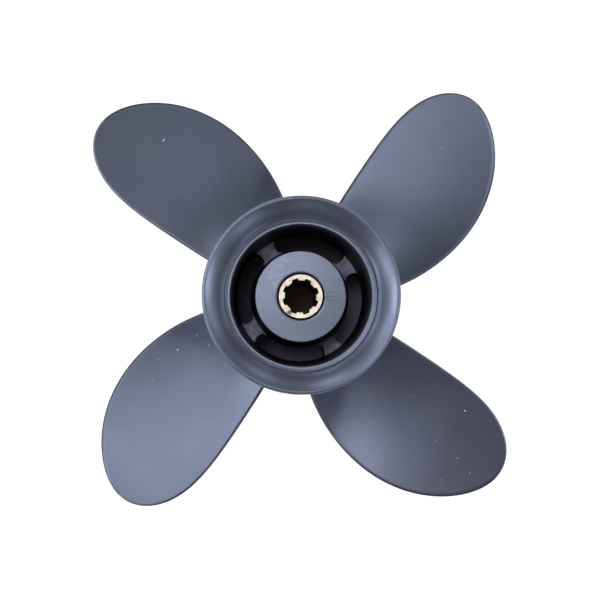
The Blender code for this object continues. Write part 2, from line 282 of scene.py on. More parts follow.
class Tree:
    """Shader nodes of one material, added and linked by short calls."""

    def __init__(self, name: str) -> None:
        """Start a material with its Principled shader.

        Args:
            name: Name of the material.
        """
        self.material = bpy.data.materials.new(name)
        self.material.use_nodes = True
        self.nodes = self.material.node_tree.nodes
        self.links = self.material.node_tree.links
        self.shader = self.nodes["Principled BSDF"]

    def set(self, node: bpy.types.Node, values: dict[str | int, object]) -> None:
        """Set or link inputs.

        Args:
            node: The node.
            values: A value or an output socket for each input's name or number.
        """
        for key, value in values.items():
            if isinstance(value, Socket):
                self.links.new(value, node.inputs[key])
            else:
                node.inputs[key].default_value = value

    def add(self, kind: str, values: dict[str | int, object], **settings: object) -> bpy.types.Node:
        """Add a node.

        Args:
            kind: Its type, without the leading ShaderNode.
            values: Its inputs, as for set.
            settings: Its properties.

        Returns:
            The node.
        """
        node = self.nodes.new(f"ShaderNode{kind}")
        for key, value in settings.items():
            setattr(node, key, value)
        self.set(node, values)
        return node

    def place(self) -> Socket:
        """Position on the object in metres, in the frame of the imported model."""
        return self.add("TexCoord", {}).outputs["Object"]

    def height(self, vector: Socket) -> Socket:
        """Z of a vector."""
        return self.add("SeparateXYZ", {0: vector}).outputs["Z"]

    def distance(self, spot: Spot) -> Socket:
        """Distance on the object from a spot."""
        values = {0: self.place(), 1: spot}
        return self.add("VectorMath", values, operation="DISTANCE").outputs["Value"]

    def noise(self, grain: Grain) -> Socket:
        """Even noise between 0 and 1."""
        values = {"Vector": self.place(), "Scale": 1 / grain.size, "Detail": grain.detail}
        return self.add("TexNoise", values | {"Roughness": NOISE_ROUGHNESS}).outputs[0]

    def patches(self, grain: Grain) -> Socket:
        """Patches with soft edges, 0 where the noise is low and 1 where it is high."""
        return self.ramp(self.noise(grain), *grain.fade)

    def calc(self, operation: str, *terms: object) -> Socket:
        """Result of one step of arithmetic on numbers or sockets."""
        return self.add("Math", dict(enumerate(terms)), operation=operation).outputs[0]

    def ramp(self, value: object, low: float, high: float) -> Socket:
        """Ease from 0 where the value is low to 1 where it is high."""
        values = {"Value": value, "From Min": low, "From Max": high, "To Min": 0.0, "To Max": 1.0}
        return self.add("MapRange", values, interpolation_type="SMOOTHSTEP").outputs[0]

    def span(self, value: object, low: float, high: float) -> Socket:
        """Spread a value between 0 and 1 over the range from low to high."""
        return self.add("MapRange", {"Value": value, "To Min": low, "To Max": high}).outputs[0]

    def blend(self, share: object, first: object, second: object) -> Socket:
        """Mix of two colours by a share between 0 and 1."""
        first, second = ((*c, 1.0) if isinstance(c, tuple) else c for c in (first, second))
        return self.add("Mix", {0: share, 6: first, 7: second}, data_type="RGBA").outputs[2]

    def bump(self, height: object, depth: float, under: Socket | None = None) -> Socket:
        """Normal that shows a relief.

        Args:
            height: The relief between 0 and 1.
            depth: Its depth in metres.
            under: A normal from an earlier relief, if there is one.

        Returns:
            The normal.
        """
        values = {"Height": height, "Distance": depth, "Strength": 1.0}
        if under is not None:
            values["Normal"] = under
        return self.add("Bump", values).outputs[0]


@dataclass(frozen=True)
class Finish:
    """One material; each kind of finish gives the inputs of its shader."""

    name: str

    def inputs(self, tree: Tree) -> dict[str, object]:
        """Find the inputs of the shader, as values or sockets by name."""
        raise NotImplementedError

    def build(self) -> Material:
        """Make the material.

        Returns:
            The material.
        """
        tree = Tree(self.name)
        tree.set(tree.shader, self.inputs(tree))
        return tree.material


@dataclass(frozen=True)
class Enamel(Finish):
    """Satin blue-grey metallic enamel on the casting, with a fine orange peel, faint stains and painted
    shade along the blades' edges.
    """

    name: str = "satin_enamel"
    colour: Colour = (0.123, 0.140, 0.199)
    stained: Colour = (0.110, 0.129, 0.188)
    # painted shade: colour along the blades' edges, where the edge faces lie in shade
    edge: Colour = (0.035, 0.042, 0.060)
    metallic: float = 0.8
    roughness: Span = (0.35, 0.41)
    stains: Grain = Grain(30.0 * MM, 5.0, (0.35, 0.65))
    rubs_and_highlight_patches: Grain = Grain(10.0 * MM, 4.0)
    waves: Grain = Grain(26.0 * MM, 1.0)
    wave_depth: float = 0.16 * MM
    peel: Grain = Grain(1.6 * MM, 3.0)
    peel_depth: float = 0.004 * MM

    def coat(self, tree: Tree) -> Socket:
        """Colour of the paint, stained in places, with painted shade that darkens it along the blades'
        edges.

        Args:
            tree: The material's nodes.

        Returns:
            The colour.
        """
        # share of the painted edge shade, read from the blades' attribute
        edges = tree.add("Attribute", {}, attribute_name=EDGE_SHARE).outputs["Fac"]
        paint = tree.blend(tree.patches(self.stains), self.colour, self.stained)
        return tree.blend(edges, paint, self.edge)

    def relief(self, tree: Tree) -> Socket:
        """Normal of the paint: soft waves under a fine orange peel."""
        waves = tree.bump(tree.noise(self.waves), self.wave_depth)
        return tree.bump(tree.noise(self.peel), self.peel_depth, waves)

    def inputs(self, tree: Tree) -> dict[str, object]:
        """Find the inputs of the shader.

        Args:
            tree: The material's nodes.

        Returns:
            The inputs by name.
        """
        return {
            "Base Color": self.coat(tree),
            "Metallic": self.metallic,
            "Roughness": tree.span(tree.noise(self.rubs_and_highlight_patches), *self.roughness),
            "Normal": self.relief(tree),
        }


@dataclass(frozen=True)
class FaceEnamel(Enamel):
    """The same enamel on the hub's aft face, wrinkled on one side and creased round the hole."""

    name: str = "face_enamel"
    # painted highlight on the crests of the wrinkles
    pale: Colour = (0.155, 0.165, 0.230)
    face_z: float = 64.0 * MM
    wrinkle_side: float = math.radians(146.0)
    wrinkle_reach: Span = mm(1.0, 15.0)
    wrinkles: Grain = Grain(1.8 * MM, 3.0, (0.46, 0.71))
    wrinkle_depth: float = 0.055 * MM
    crease_side: float = math.radians(9.0)
    crease_radius: float = 11.8 * MM
    crease_reach: Span = mm(5.0, 1.0)
    crease_ring: Span = mm(12.4, 10.7)
    crease_depth: float = 0.025 * MM
    creases: float = 48.0
    wander: float = 7.0
    wandering: Grain = Grain(4.0 * MM)

    def wrinkled(self, tree: Tree) -> Socket:
        """Share of the wrinkles, from 0 in the middle to 1 on their side of the face.

        Args:
            tree: The material's nodes.

        Returns:
            The share.
        """
        side = (math.cos(self.wrinkle_side), math.sin(self.wrinkle_side), 0.0)
        along = tree.add("VectorMath", {0: tree.place(), 1: side}, operation="DOT_PRODUCT")
        return tree.ramp(along.outputs["Value"], *self.wrinkle_reach)

    def creased(self, tree: Tree) -> Socket:
        """Share of the creases: strong at one side of the hole, and round it among the wrinkles.

        Args:
            tree: The material's nodes.

        Returns:
            The share.
        """
        out = (math.cos(self.crease_side), math.sin(self.crease_side))
        spot = (out[0] * self.crease_radius, out[1] * self.crease_radius, self.face_z)
        beside = tree.ramp(tree.distance(spot), *self.crease_reach)
        ring = tree.ramp(tree.distance((0.0, 0.0, self.face_z)), *self.crease_ring)
        return tree.calc("MAXIMUM", beside, tree.calc("MULTIPLY", ring, self.wrinkled(tree)))

    def coat(self, tree: Tree) -> Socket:
        """Colour of the paint, with a painted highlight on the crests of the wrinkles."""
        # the wrinkles' crests take the painted highlight
        crests = tree.calc("MULTIPLY", tree.patches(self.wrinkles), self.wrinkled(tree))
        return tree.blend(crests, super().coat(tree), self.pale)

    def relief(self, tree: Tree) -> Socket:
        """Normal of the paint with the wrinkles, and with creases that run out from the hole.

        Args:
            tree: The material's nodes.

        Returns:
            The normal.
        """
        height = tree.calc("MULTIPLY", tree.noise(self.wrinkles), self.wrinkled(tree))
        wrinkles = tree.bump(height, self.wrinkle_depth, super().relief(tree))
        split = tree.add("SeparateXYZ", {0: tree.place()})
        turn = tree.calc("ARCTAN2", split.outputs["Y"], split.outputs["X"])
        wander = tree.calc("MULTIPLY", tree.noise(self.wandering), self.wander)
        ridges = tree.calc("SINE", tree.calc("MULTIPLY_ADD", turn, self.creases, wander))
        return tree.bump(tree.calc("MULTIPLY", ridges, self.creased(tree)), self.crease_depth, wrinkles)


@dataclass(frozen=True)
class PassagePaint(Finish):
    """Near-black paint inside the hub, with enamel that drifted in near the lip and on upward faces, and
    painted light: upward faces lighter than the enamel itself and highlights on rounded edges.
    """

    name: str = "passage_black"
    colour: Colour = (0.006, 0.006, 0.009)
    drift: Colour = (0.050, 0.058, 0.088)
    # upward faces: drifted enamel, made lighter than the enamel itself by painted light
    drifted_enamel_and_light: Colour = (0.150, 0.163, 0.240)
    drifted_enamel_and_highlight: Colour = (0.310, 0.333, 0.478)
    # painted highlight on the rounded edges of the ribs and walls
    painted_edge_highlight: Colour = (0.300, 0.305, 0.400)
    roughness: float = 0.5
    specular: float = 0.3
    drift_z: Span = mm(62.0, 74.5)
    drift_power: float = 2.0
    upward: Span = (0.6, 0.97)
    edge_start: Span = (0.3, 0.6)
    edge_end: Span = (0.99, 0.9)
    patches: Grain = Grain(5.0 * MM, 3.0, (0.38, 0.68))
    # patches that break up the painted edge highlight
    rubs_and_highlight_patches: Grain = Grain(3.2 * MM, 3.0, (0.45, 0.6))
    grain: Grain = Grain(0.7 * MM, 3.0)
    depth: float = 0.03 * MM

    def inputs(self, tree: Tree) -> dict[str, object]:
        """Find the inputs of the shader.

        Args:
            tree: The material's nodes.

        Returns:
            The inputs by name.
        """
        facing = tree.height(tree.add("NewGeometry", {}).outputs["Normal"])
        near = tree.calc("POWER", tree.ramp(tree.height(tree.place()), *self.drift_z), self.drift_power)
        walls = tree.blend(near, self.colour, self.drift)
        # upward faces take drifted enamel brightened by painted light, in patches
        faces = tree.blend(tree.patches(self.patches), self.drifted_enamel_and_light, self.drifted_enamel_and_highlight)
        surface = tree.blend(tree.ramp(facing, *self.upward), walls, faces)
        # painted highlight on the edge roundings, in patches
        ends = (tree.ramp(facing, *limits) for limits in (self.edge_start, self.edge_end))
        edge_highlight_share = tree.calc("MULTIPLY", tree.calc("MULTIPLY", *ends), tree.patches(self.rubs_and_highlight_patches))
        return {
            "Base Color": tree.blend(edge_highlight_share, surface, self.painted_edge_highlight),
            "Roughness": self.roughness,
            "Specular IOR Level": self.specular,
            "Normal": tree.bump(tree.noise(self.grain), self.depth),
        }


@dataclass(frozen=True)
class PatchyFinish(Finish):
    """Two colours in patches, with a roughness from the first one to the second and a fine grain."""

    colour: Colour
    second: Colour
    roughness: Span
    patches: Grain
    grain: Grain
    depth: float
    metallic: float = 0.0

    def inputs(self, tree: Tree) -> dict[str, object]:
        """Find the inputs of the shader.

        Args:
            tree: The material's nodes.

        Returns:
            The inputs by name.
        """
        patches = tree.patches(self.patches)
        return {
            "Base Color": tree.blend(patches, self.colour, self.second),
            "Metallic": self.metallic,
            "Roughness": tree.span(patches, *self.roughness),
            "Normal": tree.bump(tree.noise(self.grain), self.depth),
        }


@dataclass(frozen=True)
class BushRubber(PatchyFinish):
    """Matte black rubber with a faint bloom."""

    name: str = "bush_rubber"
    colour: Colour = (0.012, 0.012, 0.013)
    second: Colour = (0.030, 0.030, 0.032)
    roughness: Span = (0.7, 0.9)
    patches: Grain = Grain(5.0 * MM, 4.0, (0.45, 0.75))
    grain: Grain = Grain(0.5 * MM, 2.0)
    depth: float = 0.02 * MM


@dataclass(frozen=True)
class SleeveBrass(PatchyFinish):
    """Pale machined brass, dulled a little in patches."""

    name: str = "sleeve_brass"
    colour: Colour = (0.77, 0.73, 0.60)
    second: Colour = (0.71, 0.66, 0.53)
    roughness: Span = (0.53, 0.68)
    patches: Grain = Grain(2.5 * MM, 4.0, (0.4, 0.75))
    grain: Grain = Grain(0.4 * MM, 3.0)
    depth: float = 0.01 * MM
    metallic: float = 1.0


@dataclass(frozen=True)
class BoreBrass(PatchyFinish):
    """Dark brown brass in the splined bore."""

    name: str = "bore_brass"
    colour: Colour = (0.050, 0.036, 0.024)
    second: Colour = (0.130, 0.095, 0.060)
    roughness: Span = (0.5, 0.65)
    patches: Grain = Grain(3.0 * MM, 4.0, (0.5, 0.75))
    grain: Grain = Grain(0.5 * MM, 3.0)
    depth: float = 0.01 * MM
    metallic: float = 0.6


@dataclass(frozen=True)
class MarkFinish(Finish):
    """Dust or dirt in a small mark, or painted shade for a small pit, thinner in places."""

    colour: Colour
    thin: Colour
    roughness: float = 0.8
    grain: Grain = Grain(0.3 * MM, 3.0, (0.35, 0.65))
    depth: float = 0.02 * MM

    def inputs(self, tree: Tree) -> dict[str, object]:
        """Find the inputs of the shader.

        Args:
            tree: The material's nodes.

        Returns:
            The inputs by name.
        """
        return {
            "Base Color": tree.blend(tree.patches(self.grain), self.thin, self.colour),
            "Roughness": self.roughness,
            "Normal": tree.bump(tree.noise(self.grain), self.depth),
        }


class Mark(Enum):
    """Kinds of small marks, with the colour of each where it lies thick and where it is thin."""

    PALE_DUST = ((0.64, 0.66, 0.72), (0.52, 0.54, 0.60))
    GREY_SMEAR = ((0.08, 0.08, 0.075), (0.17, 0.165, 0.15))
    # painted shade that stands for a small pit
    DARK_SPECK = ((0.04, 0.025, 0.015), (0.08, 0.05, 0.03))

    def finish(self) -> Material:
        """Make the material of this kind of mark."""
        return MarkFinish(self.name.lower(), *self.value).build()


@dataclass(frozen=True)
class FloorPaint(Finish):
    """Pale floor that shines evenly, but hardly under the hub, where it is painted shade, brown under the
    bore, with a painted pool of light on one side.
    """

    name: str = "studio_floor"
    colour: Colour = (0.20, 0.20, 0.20)
    # painted shade on the floor under the hub, also the colour of its dim glow
    shaded: Colour = (0.070, 0.066, 0.090)
    # painted pool of light on one side under the hub
    painted_light_colour: Colour = (0.200, 0.196, 0.250)
    # brown painted shade on the floor under the bore
    brown: Colour = (0.10, 0.075, 0.055)
    white: Colour = (1.0, 1.0, 1.0)
    # centre of the painted pool of light
    painted_light_spot: Spot = mm(22.0, -12.0, 0.0)
    painted_light_reach: Span = mm(42.0, 4.0)
    bore_edge: Span = mm(14.0, 16.0)
    hub_edge: Span = mm(35.0, 37.0)
    # dim glow under the hub standing in for the little light there, and the even glow of the open floor
    glow: Span = (0.035, 0.95)
    roughness: float = 0.9

    def inputs(self, tree: Tree) -> dict[str, object]:
        """Find the inputs of the shader.

        Args:
            tree: The material's nodes.

        Returns:
            The inputs by name.
        """
        away = tree.distance((0.0, 0.0, 0.0))
        outside, beside = (tree.ramp(away, *edge) for edge in (self.hub_edge, self.bore_edge))
        # share of the painted pool of light round its spot
        painted_light_share = tree.ramp(tree.distance(self.painted_light_spot), *self.painted_light_reach)
        under = tree.blend(beside, self.brown, tree.blend(painted_light_share, self.shaded, self.painted_light_colour))
        return {
            "Base Color": tree.blend(outside, under, self.colour),
            "Roughness": self.roughness,
            "Specular IOR Level": 0.0,
            "Emission Color": tree.blend(outside, under, self.white),
            "Emission Strength": tree.span(outside, *self.glow),
        }


@dataclass
class HubShell:
    """Outer tube of the hub with its lip and the flared diffuser ring, as the one casting it is.

    The roundings go from the front rim through the bore and over the lip to the cove behind it. The
    slopes of the flare are those at its foot, above the foot and at its rim.
    """

    barrel_radius: float = 36.0 * MM
    front_bore: float = 31.2 * MM
    throat_radius: float = 27.6 * MM
    aft_bore: float = 30.4 * MM
    throat_z: float = 38.5 * MM
    lip_shoulder: float = 31.3 * MM
    lip_radius: float = 32.4 * MM
    lip_z: float = 73.8 * MM
    lip_rise: float = 0.28 * MM
    cove: Point = mm(32.95, 73.1)
    roundings: tuple[float, ...] = mm(1.2, 0.8, 3.0, 0.4, 1.0, 0.25, 0.24)
    flare_start: float = 33.3 * MM
    flare_radius: float = 42.2 * MM
    flare_neck_z: float = 62.3 * MM
    flare_slopes: tuple[float, float, float] = (0.93, 1.12, 0.64)
    foot_bend: Span = mm(33.8, 35.2)
    flare_bend: Span = mm(34.6, 40.8)
    length: float = 80.0 * MM
    rim_radius: float = 1.1 * MM
    rim_steps: tuple[int, int] = (3, 16)
    steps: int = 32
    segments: int = 256
    paint_edge: float = 0.5 * MM

    def flare_inside(self, outer: float, high: float) -> list[Point]:
        """Curve of the flare from the cove to its rim: it gets steeper, then bends into a flatter cone.

        Args:
            outer: Radius at its outer end.
            high: Height at its outer end.

        Returns:
            Its points from the inner end to the outer one.
        """
        radii = np.linspace(outer, self.flare_start, self.steps + 1)
        middles = (radii[1:] + radii[:-1]) / 2
        foot, steep, flat = self.flare_slopes
        slopes = foot + (steep - foot) * eased(middles, *self.foot_bend)
        slopes += (flat - steep) * eased(middles, *self.flare_bend)
        heights = high - np.concatenate([[0.0], np.cumsum(slopes * -np.diff(radii))])
        return list(zip(radii[::-1].tolist(), heights[::-1].tolist()))

    def profile(self) -> list[Point]:
        """Draw the profile of the shell.

        Returns:
            The points of the closed profile.
        """
        centre = (self.flare_radius - self.rim_radius, self.length - self.rim_radius)
        lean = math.degrees(math.atan(self.flare_slopes[2]))
        rim = arc(centre, self.rim_radius, 90 + lean, 90, self.rim_steps[0])[:-1]
        rim += arc(centre, self.rim_radius, 90, -90, self.rim_steps[1])
        low, high = self.flare_neck_z, rim[-1][1]
        reach = centre[0] - self.barrel_radius
        turns = quarter(self.steps)[:-1]
        sweep = [(centre[0] - reach * math.cos(a), low + (high - low) * math.sin(a)) for a in turns]
        curves = self.flare_inside(*rim[0])[:-1] + rim + sweep[::-1]
        corners = [
            (self.barrel_radius, 0.0),
            (self.front_bore, 0.0),
            (self.throat_radius, self.throat_z),
            (self.aft_bore, self.lip_z - self.lip_rise),
            (self.lip_shoulder, self.lip_z - self.lip_rise),
            (self.lip_radius, self.lip_z),
            self.cove,
        ]
        return rounded(curves + corners, (0.0,) * len(curves) + self.roundings)

    def build(self, enamel: Material, passage: Material) -> None:
        """Make the shell.

        Args:
            enamel: Finish of its outside, of the flare and of the lip.
            passage: Finish of its bore.
        """
        shell = turned("hub_shell", self.profile(), self.segments)
        middle = (self.lip_radius + self.aft_bore) / 2
        for face in shell.data.polygons:
            out = math.hypot(face.center.x, face.center.y)
            face.material_index = int(out < middle and face.center.z < self.lip_z - self.paint_edge)
        place(shell, Slot.CASTING, ["barrel", "diffuser_ring"], enamel, passage)


@dataclass
class InnerHub:
    """Inner tube of the hub, necked at its aft face.

    The roundings go from the hole over the aft face, down the outside and back up the bore.
    """

    aft_radius: float = 19.7 * MM
    throat_radius: float = 21.6 * MM
    front_radius: float = 20.4 * MM
    aft_z: float = 64.0 * MM
    throat_z: float = 38.5 * MM
    front_z: float = 10.0 * MM
    bush_bore: float = 16.5 * MM
    face_hole: float = 10.25 * MM
    face_wall: float = 4.0 * MM
    face_dip: float = 0.15 * MM
    face_edge: float = 0.5 * MM
    face_crown: float = 0.20 * MM
    roundings: tuple[float, ...] = mm(0.15, 1.5, 0.4, 3.0, 1.0, 0.6, 0.5, 0.3)
    paint_edge: float = 0.9 * MM

    def profile(self) -> list[Point]:
        """Draw the profile of the tube.

        Returns:
            The points of the closed profile.
        """
        neck_z = self.aft_z - self.face_wall
        corners = [
            (self.face_hole, self.aft_z - self.face_dip),
            (self.face_hole + self.face_edge, self.aft_z),
            (self.aft_radius, self.aft_z - self.face_crown),
            (self.throat_radius, self.throat_z),
            (self.front_radius, self.front_z),
            (self.bush_bore, self.front_z),
            (self.bush_bore, neck_z),
            (self.face_hole, neck_z),
        ]
        return rounded(corners, self.roundings)

    def build(self, enamel: Material, passage: Material) -> None:
        """Make the tube.

        Args:
            enamel: Finish of its aft face.
            passage: Finish of the rest.
        """
        hub = turned("inner_hub_casting", self.profile())
        for face in hub.data.polygons:
            face.material_index = int(face.center.z < self.aft_z - self.paint_edge)
        place(hub, Slot.CASTING, ["inner_hub"], enamel, passage)


@dataclass
class Ribs:
    """Four ribs that carry the inner hub, with fillets at both ends.

    Both ends run past the walls that they stand on, after a short straight stretch.
    """

    count: int = 4
    phase: float = math.radians(45.0)
    thickness: float = 7.2 * MM
    fillets: tuple[float, float] = mm(1.7, 3.3)
    inner_radius: float = 21.6 * MM
    outer_radius: float = 27.6 * MM
    front_z: float = 14.0 * MM
    aft_z: float = 38.5 * MM
    overrun: float = 1.4 * MM
    straight: float = 0.1 * MM
    rounding: float = 0.5 * MM
    steps: int = 6

    def outline(self) -> np.ndarray:
        """Draw the outline seen along the shaft.

        Returns:
            Its points clockwise, with the rib lying along X.
        """
        half = self.thickness / 2
        turns = quarter(self.steps)[1:]
        ends = []
        for fillet in self.fillets:
            end = [(-self.overrun, half + fillet), (-self.straight, half + fillet)]
            end += [(fillet * (1 - math.cos(a)), half + fillet * (1 - math.sin(a))) for a in turns]
            ends.append(end)
        top = [(self.inner_radius + x, y) for x, y in ends[0]]
        top += [(self.outer_radius - x, y) for x, y in reversed(ends[1])]
        return np.array(top + [(x, -y) for x, y in reversed(top)])

    def rings(self) -> list[Point]:
        """Lay out the rings of points, from the aft face down to the front one.

        Returns:
            The inset and the height of each ring.
        """
        turns = quarter(self.steps)
        inset = [self.rounding * (1 - math.sin(a)) for a in turns]
        drop = [self.rounding * (1 - math.cos(a)) for a in turns]
        aft = [(i, self.aft_z - d) for i, d in zip(inset, drop)]
        front = [(i, self.front_z + d) for i, d in zip(inset, drop)]
        flat = self.rounding + self.straight
        return [(flat, self.aft_z), *aft, *reversed(front), (flat, self.front_z)]

    def build(self, passage: Material) -> None:
        """Make the four ribs.

        Args:
            passage: Their finish.
        """
        outline, rings = self.outline(), self.rings()
        count, last = len(outline), len(rings) - 1
        inward = -left_normals(outline)
        layers = [np.column_stack([outline + inward * inset, np.full(count, z)]) for inset, z in rings]
        ends = [tuple(range(count))[::-1], tuple(range(count * last, count * last + count))]
        faces = ends + ring_faces(len(rings), count, closed=False)
        for number in range(self.count):
            turn = self.phase + TURN * number / self.count
            rib = mesh_object(f"rib_{number + 1}_casting", spun(np.vstack(layers), turn), faces)
            place(rib, Slot.PASSAGE, [f"rib_{number + 1}"], passage)


@dataclass
class Blades:
    """Four blades: a right-handed screw surface of constant pitch, crowned on the front side.

    The middle line and the half width are polynomials, in degrees, of the share of the way from the
    barrel to the tip. Their factors are the rounded results of a least-squares fit to the photograph.
    Each nose is the width and the depth of an edge's rounding on the aft face.
    """

    count: int = 4
    tip_radius: float = 117.5 * MM
    barrel_radius: float = 36.0 * MM
    pitch: float = 203.2 * MM
    middle_z: float = 36.5 * MM
    middle_angle: float = math.radians(51.0)
    middle_line: tuple[float, ...] = (47.3, 4.2, 11.7, -4.8)
    half_width: tuple[float, ...] = (32.0, -21.6, 4.8, -3.9)
    tip_roundness: float = 6.4
    tip_share: float = 0.2
    root_thickness: float = 7.6 * MM
    tip_thickness: float = 2.4 * MM
    leading_thickness: float = 1.5 * MM
    trailing_thickness: float = 2.0 * MM
    leading_nose: tuple[float, float] = mm(2.2, 0.74)
    trailing_nose: tuple[float, float] = mm(0.75, 0.75)
    crown_ease: float = 8.0 * MM
    root_fillet: float = 4.5 * MM
    root_sink: float = 1.0 * MM
    skin: float = 0.01 * MM
    spine_reach: float = 0.86
    # bands and strengths of the painted shade along the leading and trailing edges, blade by blade
    leading_band: float = 1.3 * MM
    trailing_band: float = 0.6 * MM
    leading_edge_shade: float = 1.4
    trailing_edge_shade: tuple[float, ...] = (1.0, 0.2, 1.0, 0.2)
    rows: int = 90
    columns: int = 36
    fillet_steps: int = 8

    @property
    def rise(self) -> float:
        """Rise of the screw surface for each radian of turn."""
        return self.pitch / TURN

    def outward(self, radius: np.ndarray) -> np.ndarray:
        """Share of the way from the barrel to the tip."""
        return (radius - self.barrel_radius) / (self.tip_radius - self.barrel_radius)

    def plan(self, radius: np.ndarray) -> tuple[np.ndarray, np.ndarray]:
        """Find the blade's plan at each radius.

        Args:
            radius: Distances from the shaft's axis.

        Returns:
            The angle of the middle line and the half width, both in radians.
        """
        x = np.clip(self.outward(radius), 0.0, 1.0)
        middle = np.radians(np.polynomial.polynomial.polyval(x, self.middle_line))
        half = np.radians(np.polynomial.polynomial.polyval(x, self.half_width))
        return middle, half * np.sqrt(1 - x**self.tip_roundness)

    def fan(self) -> tuple[np.ndarray, np.ndarray, np.ndarray]:
        """Lay a fan of lines from the spine to the outline.

        Returns:
            Radius, angle and signed share of the way to the edge of each point, the leading edge
            at -1 and the trailing edge at 1, with one row for each station along the blade.
        """
        first = self.barrel_radius + self.root_fillet
        edge_radius = mixed(first, self.tip_radius, np.sin(quarter(self.rows)))
        spine_radius = mixed(first, edge_radius, self.spine_reach)
        edge_middle, edge_half = self.plan(edge_radius)
        spine_middle, _ = self.plan(spine_radius)
        steps = np.arange(-self.columns, self.columns + 1) / self.columns
        share = 1 - (1 - np.abs(steps)) ** 2
        edge_angle = edge_middle[:, None] + np.sign(steps) * edge_half[:, None]
        radius = mixed(spine_radius[:, None], edge_radius[:, None], share)
        angle = mixed(spine_middle[:, None], edge_angle, share)
        return radius, angle, np.broadcast_to(np.sign(steps) * share, radius.shape)

    def edge_distance(self, radius: np.ndarray, angle: np.ndarray) -> np.ndarray:
        """Find the distance on the screw surface from each point of the fan to the outline.

        Args:
            radius: Radii of the fan.
            angle: Angles of the fan.

        Returns:
            The distances.
        """
        edge_r = np.concatenate([radius[:, 0], radius[::-1, -1]])
        edge_a = np.concatenate([angle[:, 0], angle[::-1, -1]])
        scale = np.hypot(radius, self.rise).ravel()[:, None]
        start = np.stack([edge_r[:-1] + 0 * scale, edge_a[:-1] * scale])
        along = np.stack([edge_r[1:] + 0 * scale, edge_a[1:] * scale]) - start
        flat = [radius.ravel()[:, None], angle.ravel()[:, None] * scale]
        point = np.stack([side + 0 * start[0] for side in flat])
        length = np.maximum((along**2).sum(0), LEAST_SQUARE)
        share = np.clip(((point - start) * along).sum(0) / length, 0.0, 1.0)
        nearest = start + along * share - point
        return np.sqrt((nearest**2).sum(0).min(1)).reshape(radius.shape)

    def offsets(
        self, radius: np.ndarray, angle: np.ndarray, signed: np.ndarray
    ) -> tuple[np.ndarray, np.ndarray]:
        """Find how far the two faces of the blade lie from the screw surface.

        Args:
            radius: Radii of the fan.
            angle: Angles of the fan.
            signed: Signed shares of the way to the edge.

        Returns:
            The offsets of the aft face and of the front face, both 0 or less.
        """
        away = self.edge_distance(radius, angle)
        to_tip = 1 - np.arange(self.rows + 1)[:, None] / self.rows
        trailing = 0.5 + 0.5 * smooth_step(to_tip / self.tip_share) * np.sin(np.pi / 2 * signed)
        edge = mixed(self.leading_thickness, self.trailing_thickness, trailing)
        width, depth = (mixed(*nose, trailing) for nose in zip(self.leading_nose, self.trailing_nose))
        past = 1 - np.clip(away / width, 0.0, 1.0)
        cut = depth * (1 - np.sqrt(1 - past**2))
        middle, half = self.plan(radius)
        chord = np.clip((angle - middle) / np.maximum(half, LEAST_ANGLE), -1.0, 1.0)
        thickness = mixed(self.root_thickness, self.tip_thickness, self.outward(radius))
        crown = (thickness - edge) * (1 - chord**2) * smooth_step(away / self.crown_ease)
        return -cut, cut - edge - crown

    def lift(self, radius: np.ndarray, angle: np.ndarray, offset: np.ndarray) -> np.ndarray:
        """Find places in space.

        Args:
            radius: Distances from the shaft's axis.
            angle: Angles round it on the screw surface.
            offset: Distances from the screw surface along its normal, towards the aft end.

        Returns:
            Points in space, in the last axis.
        """
        slope = np.arctan2(self.rise, radius)
        turned_to = angle - offset * np.sin(slope) / radius
        height = self.middle_z + self.rise * (angle - self.middle_angle) + offset * np.cos(slope)
        return np.stack([radius * np.cos(turned_to), radius * np.sin(turned_to), height], -1)

    def fillet_rings(self, radius: np.ndarray, angle: np.ndarray, offset: np.ndarray) -> list[np.ndarray]:
        """Widen the root section towards the barrel.

        Args:
            radius: Radius of the root section.
            angle: Angles of its points, once round the section.
            offset: Their offsets.

        Returns:
            Points of each ring of the fillet, from the blade down to below the barrel's surface.
        """
        middle, half = self.plan(radius)
        spread = math.hypot(radius, self.rise)
        loop = np.stack([(angle - middle) * spread, offset], 1)
        normals = left_normals(loop)
        turns = quarter(self.fillet_steps)[-2::-1]
        radii = self.barrel_radius - self.skin + self.root_fillet * (1 - np.cos(turns))
        growths = self.root_fillet * (1 - np.sin(turns))
        rings = []
        for ring_radius, growth in [*zip(radii, growths), (radii[-1] - self.root_sink, growths[-1])]:
            ring_middle, ring_half = self.plan(np.array(ring_radius))
            ring_spread = math.hypot(ring_radius, self.rise)
            grown = loop * [ring_half * ring_spread / (half * spread), 1.0] + normals * growth
            ring_angle = ring_middle + grown[:, 0] / ring_spread
            rings.append(self.lift(np.full(len(grown), ring_radius), ring_angle, grown[:, 1]))
        return rings

